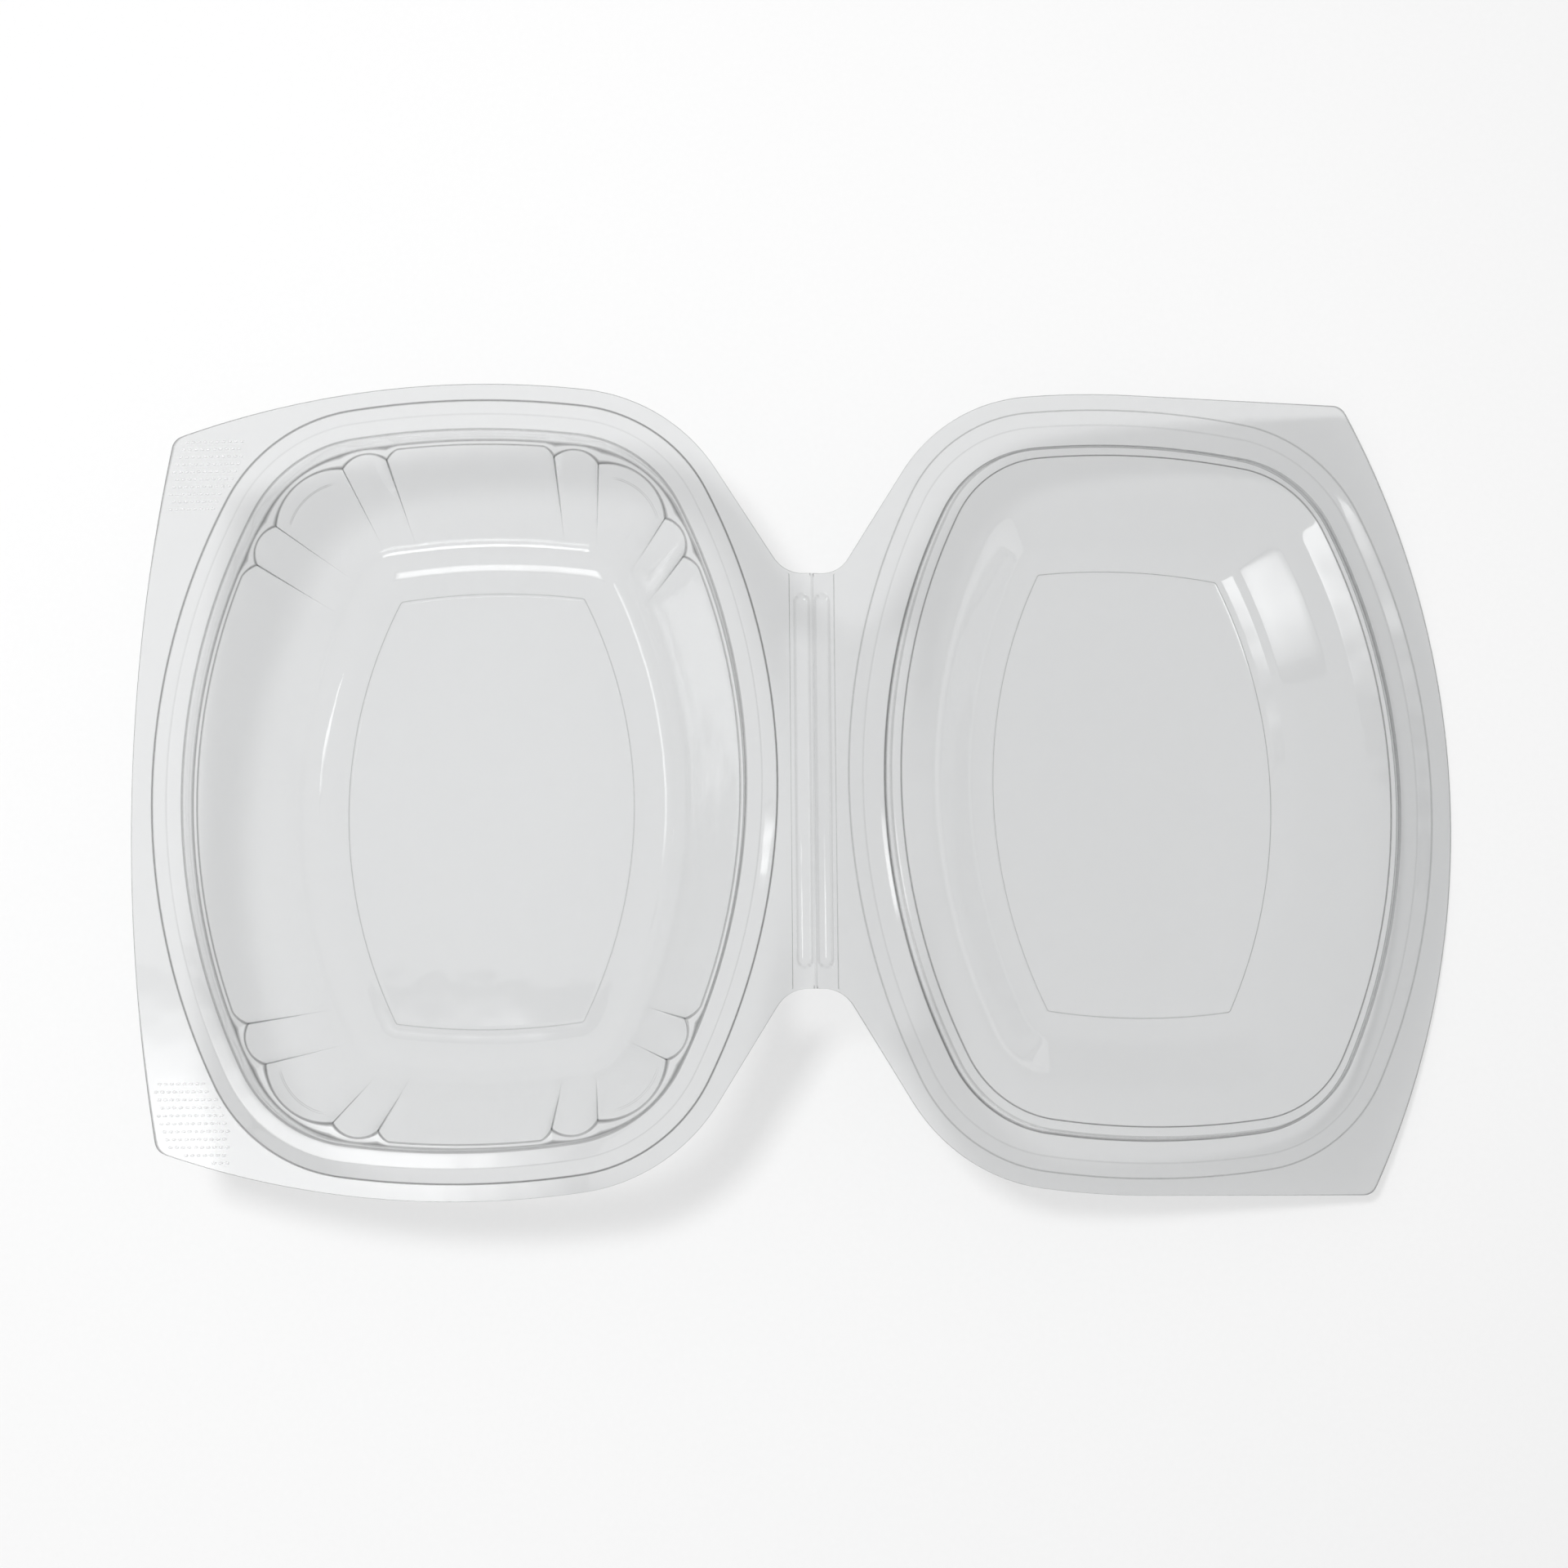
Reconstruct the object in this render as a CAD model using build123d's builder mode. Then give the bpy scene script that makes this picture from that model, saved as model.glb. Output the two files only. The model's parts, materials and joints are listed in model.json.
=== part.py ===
from build123d import *

import os
from math import asin, atan2, cos, degrees, hypot, radians, sin, sqrt, tan

# Hinged tray and lid, vacuum formed from one sheet of clear plastic and opened flat.
# Origin: centre of the tray's floor, on the table. +X runs from the tray to the lid,
# +Y runs along the hinge, +Z is up. All sizes are in millimetres.

sheet = 0.45  # thickness of the formed sheet

# The barrel outline that every line of the tray and of the lid is an inset of.
rim_half_x = 72.7  # half width at the rim line, across the hinge
rim_half_y = 91.5  # half length at the rim line, along the hinge
side_bow = 1.686  # radius of the long sides, in half lengths
end_bow = 2.739  # radius of the short ends, in half widths
rim_corner_r = 38.5  # radius of the corners between them

# Tray, from the rim inwards.
rim_height = 43.5  # top of the tray's flange above the table
band_rise = 0.7  # how far the closing band stands above the flange
band_slope_width = 3.5  # width of the slope from the rim line up to the band
socket_inset = 7.5  # top edge of the upright socket wall
socket_depth = 7.0  # height of the socket wall
socket_draft = 0.5  # how far its foot comes in
ledge_width = 1.1  # flat step between the socket wall and the bowl
bowl_draft = 0.5  # run of the bowl wall for each unit of height
bowl_round_r = 11.0  # inside round between bowl wall and floor
fade_height = 8.0  # height at which the flutes have run out
floor_corner_r = 1.1  # corners of the floor panel
foot_step = 0.5  # how far the floor panel stands below the ring around it

# Flutes in each corner of the bowl: the depths of creases and heads, and their places as
# shares of the side, the corner or the end that they stand in.
crease_depth = 2.6  # how far a crease lies inside the smooth panels
head_depth = 0.2  # the same for the round head of a flute
side_panel_share = 0.788  # end of the side panel, out from the middle of the side
side_crease_share = 0.845  # crease next to it
side_head_share = 0.906  # head of the flute after that
corner_head_share = 0.397  # head of the wide flute, round from the side
corner_crease_share = 0.819  # crease after it
end_panel_share = 0.669  # end of the end panel, out from the middle of the end
end_crease_share = 0.77  # crease next to it

# Flanges, as distances outside the rim line.
end_lip = 3.9  # at the ends
end_lip_flatter = 10.4  # how much flatter the flange's ends are than the rim's
flange_corner_r = 43.0  # radius of the corners beside the hinge
flange_corner_inset = 50.4  # centre of those corners, in from the side
flank_angle = 32.0  # where the corner turns into the straight flank
notch_r = 8.0  # hollow round between flank and hinge strip
hinge_inset = 43.3  # how much shorter the hinge strip's half length is than the rim's
tray_lip = 4.7  # at the tray's front
tray_front_bow = 4.9  # radius of that front, in half lengths
tray_tab_inset = 8.0  # grip corners, in from the ends
lid_lip = 4.9  # at the lid's front
lid_front_bow = 2.186  # radius of that front, in half lengths
lid_ear_out = 4.3  # the lid's ears, out from the ends
tab_round_r = 3.5  # round on the grip corners and on the ears

# Hinge.
hinge_land = 8.4  # from the rim line to the fold
closed_gap = 0.4  # air between the flanges when the lid is shut
fold_gap = 0.7  # width of the thinned fold line between the two halves of the strip
bead_width = 3.4  # width of the two beads along the strip
bead_depth = 0.8  # depth of the beads
bead_taper = 40.0  # slope of their sides, from upright
bead_edge_gap = 0.4  # from a bead to the fold line
bead_end_gap = 5.0  # from the end of a bead's straight part to the end of the strip

# Lid, from the rim inwards. Depths are below the lid's flange.
plug_inset = 8.7  # foot of the raised plug ring
plug_rise = 2.5  # how far the ring stands above the lid's flange
plug_draft = 0.4  # how far its top comes in
plug_width = 3.1  # from the foot of the ring to the edge of the dome
shoulder_width = 8.0  # gently sloping shoulder next to the ring
shoulder_fall = 1.7  # how far it falls towards the dome
dome_depth = 9.6  # depth at the edge of the dome's floor
dome_step = 0.5  # how far the dome's floor lies below that edge
dome_corner_r = 0.4  # corners of the dome's floor

# Sizes that follow.
side_bow_r = side_bow * rim_half_y
end_bow_r = end_bow * rim_half_x
flange_end_half = rim_half_y + end_lip
flange_end_r = end_bow_r + end_lip_flatter
flange_corner_x = rim_half_x - flange_corner_inset
hinge_half_length = rim_half_y - hinge_inset
tray_front = rim_half_x + tray_lip
tray_front_r = tray_front_bow * rim_half_y
tray_tab_half = rim_half_y - tray_tab_inset
lid_front = rim_half_x + lid_lip
lid_front_r = lid_front_bow * rim_half_y
lid_ear_half = rim_half_y + lid_ear_out
hinge_reach = rim_half_x + hinge_land
hinge_height = rim_height + closed_gap / 2
bead_half_length = hinge_half_length - bead_end_gap


def corner_centre():
    """The centre of a rim corner: as far from both bow centres as the radii differ."""
    side_x = rim_half_x - side_bow_r
    end_y = rim_half_y - end_bow_r
    side_reach = side_bow_r - rim_corner_r
    end_reach = end_bow_r - rim_corner_r
    apart = hypot(side_x, end_y)
    along = (side_reach**2 - end_reach**2 + apart**2) / (2 * apart)
    across = sqrt(side_reach**2 - along**2)
    unit_x, unit_y = -side_x / apart, end_y / apart
    return side_x + along * unit_x - across * unit_y, along * unit_y + across * unit_x


side_centre = (rim_half_x - side_bow_r, 0)
end_centre = (0, rim_half_y - end_bow_r)
rim_centre = corner_centre()
side_join = degrees(atan2(rim_centre[1], rim_centre[0] - side_centre[0]))
end_join = degrees(atan2(rim_centre[0], rim_centre[1] - end_centre[1]))
corner_turn = 90 - end_join - side_join

# The flutes' places: about the side's, the corner's and the end's own centre.
side_panel_angle = side_panel_share * side_join
side_crease_angle = side_crease_share * side_join
side_head_angle = side_head_share * side_join
corner_head_angle = side_join + corner_head_share * corner_turn
corner_crease_angle = side_join + corner_crease_share * corner_turn
end_panel_angle = end_panel_share * end_join
end_crease_angle = end_crease_share * end_join


def on_side(angle, inset):
    """The point of the long side at an angle about the side's centre."""
    reach = side_bow_r - inset
    return side_centre[0] + reach * cos(radians(angle)), reach * sin(radians(angle))


def on_end(angle, inset):
    """The point of the short end at an angle from +Y about the end's centre."""
    reach = end_bow_r - inset
    return reach * sin(radians(angle)), end_centre[1] + reach * cos(radians(angle))


def on_corner(angle, inset):
    """The point of the corner at an angle about the corner's centre."""
    reach = rim_corner_r - inset
    return (
        rim_centre[0] + reach * cos(radians(angle)),
        rim_centre[1] + reach * sin(radians(angle)),
    )


def bow(place, first, last, inset):
    """Start, middle and end of one stretch of the outline."""
    return place(first, inset), place((first + last) / 2, inset), place(last, inset)


def half_bow(start, middle, end, first_half):
    """One half of the arc through three points, as its own start, middle and end."""
    (ax, ay), (bx, by), (cx, cy) = start, middle, end
    turn = 2 * (ax * (by - cy) + bx * (cy - ay) + cx * (ay - by))
    a2, b2, c2 = ax * ax + ay * ay, bx * bx + by * by, cx * cx + cy * cy
    x0 = (a2 * (by - cy) + b2 * (cy - ay) + c2 * (ay - by)) / turn
    y0 = (a2 * (cx - bx) + b2 * (ax - cx) + c2 * (bx - ax)) / turn
    radius = hypot(ax - x0, ay - y0)
    p, q = (start, middle) if first_half else (middle, end)
    mx, my = (p[0] + q[0]) / 2 - x0, (p[1] + q[1]) / 2 - y0
    scale = radius / hypot(mx, my)
    return p, (x0 + mx * scale, y0 + my * scale), q


def four_quarters(bows):
    """A closed wire from the bows of one quarter, mirrored round both axes."""
    edges = []
    for sign_x, sign_y in ((1, 1), (-1, 1), (-1, -1), (1, -1)):
        for points in bows:
            edges.append(ThreePointArc(*[(x * sign_x, y * sign_y) for x, y in points]))
    return Wire(edges)


def barrel(inset):
    """The barrel outline, this far inside the rim line."""
    return four_quarters([
        bow(on_side, 0, side_join, inset),
        bow(on_corner, side_join, 90 - end_join, inset),
        bow(on_end, end_join, 0, inset),
    ])


def flute_quarter(panel, crease, head):
    """One quarter of the bowl's mouth, with creases and heads at their own insets."""
    side_panel = on_side(side_panel_angle, panel)
    side_crease = on_side(side_crease_angle, crease)
    side_head = on_side(side_head_angle, head)
    join_crease = on_side(side_join, crease)
    wide_head = on_corner(corner_head_angle, head)
    corner_crease = on_corner(corner_crease_angle, crease)
    end_head = on_end(end_join, head)
    end_crease = on_end(end_crease_angle, crease)
    end_panel = on_end(end_panel_angle, panel)
    bows = [bow(on_side, 0, side_panel_angle, panel)]
    bows.append(round_shoulder(side_panel, side_crease))
    for start, middle, end in (
        (side_crease, side_head, join_crease),
        (join_crease, wide_head, corner_crease),
        (corner_crease, end_head, end_crease),
    ):
        bows.append(half_bow(start, middle, end, True))
        bows.append(half_bow(start, middle, end, False))
    bows.append(round_shoulder(end_panel, end_crease)[::-1])
    bows.append(bow(on_end, end_panel_angle, 0, panel))
    return bows


def round_shoulder(panel_point, crease_point):
    """The short round from a panel down into its crease, bulging outwards."""
    mx = (panel_point[0] + crease_point[0]) / 2
    my = (panel_point[1] + crease_point[1]) / 2
    out = 0.4 / hypot(mx, my)
    return panel_point, (mx * (1 + out), my * (1 + out)), crease_point


def faded_quarter(inset):
    """The smooth outline below the flutes, divided where the flutes are divided."""
    return [
        bow(on_side, 0, side_panel_angle, inset),
        bow(on_side, side_panel_angle, side_crease_angle, inset),
        bow(on_side, side_crease_angle, side_head_angle, inset),
        bow(on_side, side_head_angle, side_join, inset),
        bow(on_corner, side_join, corner_head_angle, inset),
        bow(on_corner, corner_head_angle, corner_crease_angle, inset),
        bow(on_corner, corner_crease_angle, 90 - end_join, inset),
        bow(on_end, end_join, end_crease_angle, inset),
        bow(on_end, end_crease_angle, end_panel_angle, inset),
        bow(on_end, end_panel_angle, 0, inset),
    ]


def under_face(profile):
    """The profile of the sheet's lower face: each point moved square to the sheet."""
    steps = [(i1 - i0, h1 - h0) for (i0, h0), (i1, h1) in zip(profile, profile[1:])]
    normals = [(dh / hypot(di, dh), -di / hypot(di, dh)) for di, dh in steps]
    beside = zip([normals[0]] + normals, normals + [normals[-1]])
    moved = []
    for (inset, height), (before, after) in zip(profile, beside):
        across = (before[0] + after[0]) / 2
        down = (before[1] + after[1]) / 2
        grow = sheet / (across**2 + down**2)
        moved.append((inset + across * grow, height + down * grow))
    return moved


def frusta(stations):
    """A solid whose outline at each station is the barrel at that inset."""
    with BuildPart() as block:
        for (inset_0, height_0), (inset_1, height_1) in zip(stations, stations[1:]):
            with BuildSketch(Plane.XY.offset(height_0)):
                make_face(barrel(inset_0).edges())
            with BuildSketch(Plane.XY.offset(height_1)):
                make_face(barrel(inset_1).edges())
            loft(ruled=True)
    return block.part


def bowl_block(mouth, fade, foot, floor, round_r):
    """The fluted bowl as a solid, from (inset, height) at four levels."""
    with BuildPart() as block:
        with BuildSketch(Plane.XY.offset(foot[1])):
            make_face(barrel(foot[0]).edges())
        with BuildSketch(Plane.XY.offset(fade[1])):
            make_face(barrel(fade[0]).edges())
        loft(ruled=True)
        fillet(block.edges().group_by(Axis.Z)[0], radius=round_r)
        with BuildSketch(Plane.XY.offset(floor[1])):
            make_face(barrel(floor[0]).edges())
        extrude(amount=foot[1] - floor[1] + sheet)
        with BuildSketch(Plane.XY.offset(fade[1])):
            make_face(four_quarters(faded_quarter(fade[0])).edges())
        with BuildSketch(Plane.XY.offset(mouth[1])):
            quarter = flute_quarter(mouth[0], mouth[0] + crease_depth, mouth[0] + head_depth)
            make_face(four_quarters(quarter).edges())
        loft(ruled=True)
    return block.part


def end_point(x):
    """The point of the flange's end at this x."""
    return x, flange_end_half - flange_end_r + sqrt(flange_end_r**2 - x**2)


def hinge_side():
    """The flange's outline from the fold to its end: strip, notch, flank and corner."""
    centre_y = flange_end_half - flange_end_r
    corner_y = centre_y + sqrt((flange_end_r - flange_corner_r) ** 2 - flange_corner_x**2)
    turn = radians(flank_angle)
    end_turn = atan2(corner_y - centre_y, flange_corner_x)

    def on_flange_corner(angle):
        return (
            flange_corner_x + flange_corner_r * cos(angle),
            corner_y + flange_corner_r * sin(angle),
        )

    flank_x, flank_y = on_flange_corner(turn)
    notch_x = flank_x + (flank_y - hinge_half_length) * tan(turn)
    bend = radians(90) - turn
    reach = notch_r * tan(bend / 2)
    strip_end = (notch_x + reach, hinge_half_length)
    notch_mid = (
        strip_end[0] - notch_r * sin(bend / 2),
        hinge_half_length + notch_r * (1 - cos(bend / 2)),
    )
    flank_end = (notch_x - reach * sin(turn), hinge_half_length + reach * cos(turn))
    join = on_flange_corner(end_turn)
    return [
        ((hinge_reach - fold_gap / 2, 0), (hinge_reach - fold_gap / 2, hinge_half_length)),
        ((hinge_reach - fold_gap / 2, hinge_half_length), strip_end),
        (strip_end, notch_mid, flank_end),
        (flank_end, (flank_x, flank_y)),
        ((flank_x, flank_y), on_flange_corner((turn + end_turn) / 2), join),
        (join, end_point(join[0] / 2), end_point(0)),
    ]


def front_point(front, front_r, y):
    """The point of a flange's bowed front edge at this y."""
    return front_r - front - sqrt(front_r**2 - y**2), y


def flange_wire(half):
    """A flange's closed wire from the half of its outline at +Y."""
    edges = []
    for points in half:
        for sign in (1, -1):
            at = [(x, sign * y) for x, y in points]
            edges.append(Line(*at) if len(at) == 2 else ThreePointArc(*at))
    return Wire(edges)


tray_corner = front_point(tray_front, tray_front_r, tray_tab_half)
tray_half = hinge_side() + [
    (end_point(0), end_point(tray_corner[0] / 2), tray_corner),
    (
        tray_corner,
        front_point(tray_front, tray_front_r, tray_tab_half / 2),
        (-tray_front, 0),
    ),
]
lid_corner = front_point(lid_front, lid_front_r, lid_ear_half)
lid_half = hinge_side() + [
    (end_point(0), lid_corner),
    (lid_corner, front_point(lid_front, lid_front_r, lid_ear_half / 2), (-lid_front, 0)),
]

# The tray.
band_top = rim_height + band_rise
ledge_height = band_top - socket_depth
mouth_inset = socket_inset + socket_draft + ledge_width
ring_height = sheet + foot_step
floor_inset = rim_corner_r - floor_corner_r
fade_inset = mouth_inset + (ledge_height - fade_height) * bowl_draft
ring_inset = mouth_inset + (ledge_height - ring_height) * bowl_draft
tray_profile = [
    (-1, rim_height),
    (0, rim_height),
    (band_slope_width, band_top),
    (socket_inset, band_top),
    (socket_inset + socket_draft, ledge_height),
    (mouth_inset, ledge_height),
    (fade_inset, fade_height),
    (ring_inset, ring_height),
    (floor_inset, ring_height),
    (floor_inset, sheet),
    (floor_inset + 1, sheet),
]
tray_under = under_face(tray_profile)

# The beads of the hinge strip are pressed below the flange.
bead_x = hinge_reach - fold_gap / 2 - bead_edge_gap - bead_width / 2


def bead(half_width, top, bottom):
    """A round-ended bar along the strip, narrowing downwards between two depths."""
    across = 2 * (half_width - top * tan(radians(bead_taper)))
    with BuildPart() as bar:
        with BuildSketch(Plane.XY.offset(-top)):
            with Locations((bead_x, 0)):
                SlotOverall(2 * bead_half_length + across, across, rotation=90)
        extrude(amount=top - bottom, taper=bead_taper)
    return bar.part


bead_hollow = bead(bead_width / 2, 0, bead_depth)
bead_block = bead(
    bead_width / 2 + sheet / cos(radians(bead_taper)),
    sheet / 2,
    bead_depth + sheet,
)

with BuildPart() as tray:
    with BuildSketch(Plane.XY.offset(rim_height - sheet)) as tray_flange:
        make_face(flange_wire(tray_half).edges())
        fillet(tray_flange.vertices().group_by(Axis.X)[0], radius=tab_round_r)
    extrude(amount=sheet)
    # The closing band stands up from the flange, hollow underneath.
    add(frusta(tray_profile[1:3]))
    add(frusta(tray_under[1:3]), mode=Mode.SUBTRACT)
    # The socket wall steps down to the ledge round the mouth of the bowl.
    add(frusta([(tray_under[3][0], band_top - sheet / 2), tray_under[4]]))
    add(frusta(tray_profile[3:5]), mode=Mode.SUBTRACT)
    # The fluted bowl, outside first, then its hollow.
    add(bowl_block(*tray_under[5:8], tray_under[9], bowl_round_r + sheet))
    add(bowl_block(*tray_profile[5:8], tray_profile[9], bowl_round_r), mode=Mode.SUBTRACT)
    # One bead runs along the tray's half of the hinge strip.
    with Locations((0, 0, rim_height)):
        add(bead_block)
        add(bead_hollow, mode=Mode.SUBTRACT)
tray.part.label = "tray"

dome_inset = plug_inset + plug_width
dome_floor_inset = rim_corner_r - dome_corner_r


def droop_to_table(reach, depth):
    """The angle at which a point of the lid, this far from the fold, meets the table."""
    return asin(hinge_height / hypot(reach, depth)) - atan2(depth, reach)


# How far the opened lid hangs below level.
under_gap = closed_gap / 2 + sheet
droop = min(
    droop_to_table(hinge_reach + lid_front, under_gap),
    droop_to_table(
        hinge_reach + rim_half_x - dome_floor_inset,
        under_gap + dome_depth + dome_step,
    ),
)
lid_profile = [
    (-1, 0),
    (0, 0),
    (band_slope_width, -band_rise),
    (plug_inset, -band_rise),
    (plug_inset + plug_draft, plug_rise),
    (dome_inset, plug_rise),
    (dome_inset + shoulder_width, plug_rise - shoulder_fall),
    (dome_floor_inset - dome_step, -dome_depth),
    (dome_floor_inset, -dome_depth - dome_step),
    (dome_floor_inset + 1, -dome_depth - dome_step),
]
lid_under = under_face(lid_profile)

# The lid, made level, with its flange's upper face at height 0.
with BuildPart() as level_lid:
    with BuildSketch(Plane.XY.offset(-sheet)) as lid_flange:
        make_face(flange_wire(lid_half).edges())
        ears = lid_flange.vertices().sort_by(Axis.Y)
        fillet([ears[0], ears[-1]], radius=tab_round_r)
    extrude(amount=sheet)
    # The closing band is sunk by as much as the tray's band stands up.
    add(frusta(lid_under[1:3]))
    add(frusta(lid_profile[1:3]), mode=Mode.SUBTRACT)
    # The plug ring stands up, hollow underneath, to drop inside the tray's socket wall.
    add(frusta(lid_profile[3:5]))
    add(frusta(lid_under[3:5]), mode=Mode.SUBTRACT)
    # The dome, outside first, then its hollow.
    add(frusta(lid_under[5:9]))
    add(frusta(lid_profile[5:9]), mode=Mode.SUBTRACT)
    # One bead runs along the lid's half of the hinge strip.
    add(bead_block)
    add(bead_hollow, mode=Mode.SUBTRACT)

# The opened lid hangs from the fold until it meets the table. Its own X points back to the
# hinge, so its outline starts as the tray's does.
lid_out = Vector(cos(droop), 0, -sin(droop))
lid_up = Vector(sin(droop), 0, cos(droop))
fold = Vector(hinge_reach, 0, hinge_height)
lid_level = Plane(
    origin=fold + lid_out * hinge_reach - lid_up * (closed_gap / 2),
    x_dir=lid_out * -1,
    z_dir=lid_up,
)
with BuildPart() as lid:
    with Locations(lid_level):
        add(level_lid.part)
lid.part.label = "lid"

os.makedirs("parts", exist_ok=True)
export_step(tray.part, "parts/tray.step")
export_step(lid.part, "parts/lid.step")
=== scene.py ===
# %% [markdown]
# # A clear hinged food pack, opened out
# The real pack is one thin sheet of clear plastic, warmed and drawn by vacuum over a mould: a deep
# tray with fluted corners on one side, a shallow domed lid on the other, and a fold line between.
# This lesson rebuilds that sheet as a few surfaces worked out with numpy; all but the fold ride on
# one of the two CAD bodies, so that the lid still closes.

import json

import bpy
import numpy as np
from mathutils import Euler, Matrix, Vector


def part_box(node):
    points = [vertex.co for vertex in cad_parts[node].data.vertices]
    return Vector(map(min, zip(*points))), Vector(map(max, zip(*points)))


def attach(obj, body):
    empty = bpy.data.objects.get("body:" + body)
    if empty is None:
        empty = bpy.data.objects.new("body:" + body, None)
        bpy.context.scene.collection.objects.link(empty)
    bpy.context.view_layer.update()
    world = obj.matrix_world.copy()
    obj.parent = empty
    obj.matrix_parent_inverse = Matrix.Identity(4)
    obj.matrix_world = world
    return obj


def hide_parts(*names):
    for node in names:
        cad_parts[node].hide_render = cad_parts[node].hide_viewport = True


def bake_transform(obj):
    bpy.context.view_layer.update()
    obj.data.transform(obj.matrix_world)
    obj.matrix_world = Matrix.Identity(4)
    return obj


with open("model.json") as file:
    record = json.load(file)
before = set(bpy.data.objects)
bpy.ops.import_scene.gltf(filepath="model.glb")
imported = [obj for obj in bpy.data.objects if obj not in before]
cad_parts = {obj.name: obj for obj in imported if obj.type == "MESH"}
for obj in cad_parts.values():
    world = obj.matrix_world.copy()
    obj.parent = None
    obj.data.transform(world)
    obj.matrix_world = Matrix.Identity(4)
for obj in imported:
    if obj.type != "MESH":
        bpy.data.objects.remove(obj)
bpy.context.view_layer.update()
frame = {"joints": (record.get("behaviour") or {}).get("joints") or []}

# %% [markdown]
# ## Where things are
# All shapes below are worked out in millimetres, as a mould maker would, and turned to metres when
# they become a mesh. The joint says where the fold is, and the CAD boxes say how high the rim and
# how long the flanges are, so the looks can't drift away from the working part.

# %% Sizes taken from the frame
MM = 0.001
fold_x, _, fold_z = (v / MM for v in frame["joints"][0]["pos_m"])
tray_low, tray_high = (np.array(corner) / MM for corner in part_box("tray"))
lid_high = np.array(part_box("lid")[1]) / MM
closed_gap = 0.4  # air between the two flanges when the pack is shut
rim_z = fold_z - closed_gap / 2
tray_front = -tray_low[0]
end_half = tray_high[1]
ear_half = lid_high[1]
fold_half_gap = fold_x - tray_high[0]
print(f"fold at x {fold_x:.2f}, rim at z {rim_z:.2f}, tray front {tray_front:.2f} mm")

# %% [markdown]
# ## The barrel outline
# Every line of the pack, from the rim down to the floor panel, is the same barrel shape moved
# inwards: two long bowed sides, two short bowed ends and four round corners. A mould maker draws it
# once and offsets it. Here one quarter of it is a table of columns. A column knows the centre, the
# radius and the angle of the arc it stands on, so a point at any inset is one formula.

# %% The barrel's own sizes
half_x, half_y = 72.7, 91.5
side_bow, end_bow = 1.686, 2.739  # radii of the sides and ends, in half lengths and half widths
side_r, end_r, corner_r = side_bow * half_y, end_bow * half_x, 38.5
side_centre = np.array([half_x - side_r, 0.0])
end_centre = np.array([0.0, half_y - end_r])
sheet = 0.45  # thickness of the formed sheet


def unit(vector):
    return vector / np.hypot(*vector)


def turned(vector):
    """The vector a quarter turn to the left."""
    return np.array([-vector[1], vector[0]])


def meeting_point(centre_a, reach_a, centre_b, reach_b):
    """Where two circles cross: along the line of centres, then square to it, to its left."""
    between = centre_b - centre_a
    apart = np.hypot(*between)
    along = (reach_a**2 - reach_b**2 + apart**2) / (2 * apart)
    across = np.sqrt(reach_a**2 - along**2)
    towards = unit(between)
    return centre_a + along * towards + across * turned(towards)


corner_centre = meeting_point(side_centre, side_r - corner_r, end_centre, end_r - corner_r)
side_join = np.arctan2(corner_centre[1], corner_centre[0] - side_centre[0])
end_join = np.arctan2(corner_centre[0], corner_centre[1] - end_centre[1])
print("corner centre", corner_centre.round(2), "joins", np.degrees([side_join, end_join]).round(2))


# %% One arc of the outline, and a point on it
class Arc:
    """A stretch of the barrel: centre, radius at the rim and the angles it runs between."""

    def __init__(self, centre, radius, start, stop):
        self.centre, self.radius, self.start, self.stop = centre, radius, start, stop

    def at(self, share, inset):
        """Centre plus (radius - inset) times the direction at this share of the angle."""
        angle = self.start + (self.stop - self.start) * np.asarray(share, float)
        reach = self.radius - inset
        return self.centre + reach * np.stack([np.cos(angle), np.sin(angle)], -1)


def on_side(start, stop):
    return Arc(side_centre, side_r, start, stop)


def on_corner(start, stop):
    return Arc(corner_centre, corner_r, start, stop)


def on_end(start, stop):
    return Arc(end_centre, end_r, np.pi / 2 - start, np.pi / 2 - stop)


def through(first, middle, last, share):
    """Points of the circle through three points, even in angle on either side of the middle one."""
    (ax, ay), (bx, by), (cx, cy) = first, middle, last
    turn = 2 * (ax * (by - cy) + bx * (cy - ay) + cx * (ay - by))
    squares = np.array([ax**2 + ay**2, bx**2 + by**2, cx**2 + cy**2])
    centre_x = squares @ [by - cy, cy - ay, ay - by] / turn
    centre_y = squares @ [cx - bx, ax - cx, bx - ax] / turn
    off_x, off_y = np.array([ax, bx, cx]) - centre_x, np.array([ay, by, cy]) - centre_y
    angle = np.interp(share, [0, 0.5, 1], np.unwrap(np.arctan2(off_y, off_x)))
    radius = np.hypot(off_x[0], off_y[0])
    return np.stack([centre_x + radius * np.cos(angle), centre_y + radius * np.sin(angle)], -1)


print("side meets corner at", on_side(0, side_join).at(1, 0).round(2))

# %% [markdown]
# ## Columns round a quarter
# The tray's corners are fluted: three round heads stand between four creases, which stiffens the
# wall so that it doesn't dent. Columns crowd together at a crease, because a bend line is only a
# few tenths of a millimetre wide. The lid is smooth, so its columns are spread evenly. A fluted
# column also keeps where the flute's own line is at the mouth of the bowl.

# %% Columns along the straight-looking side, and shares crowded at a crease
mouth_inset, crease_depth, head_depth = 9.1, 2.6, 0.2
strip_end_length, notch_start_length = 46.9, 48.9  # along the rim, from the middle of the side
wide_step, close_step, panel_step, close_from = 4.0, 0.6, 1.2, 40.0
crease_gap = 0.1


def side_lengths(stop):
    """Lengths from the middle of the side: wide steps first, close ones at the bead's end."""
    wide = np.arange(0, close_from, wide_step)
    close = np.arange(close_from, strip_end_length - close_step / 2, close_step)
    tip = np.linspace(strip_end_length, notch_start_length, 5)
    panel = np.arange(notch_start_length + 0.8, stop, panel_step)
    return np.concatenate([wide, close, tip, panel])


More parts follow.
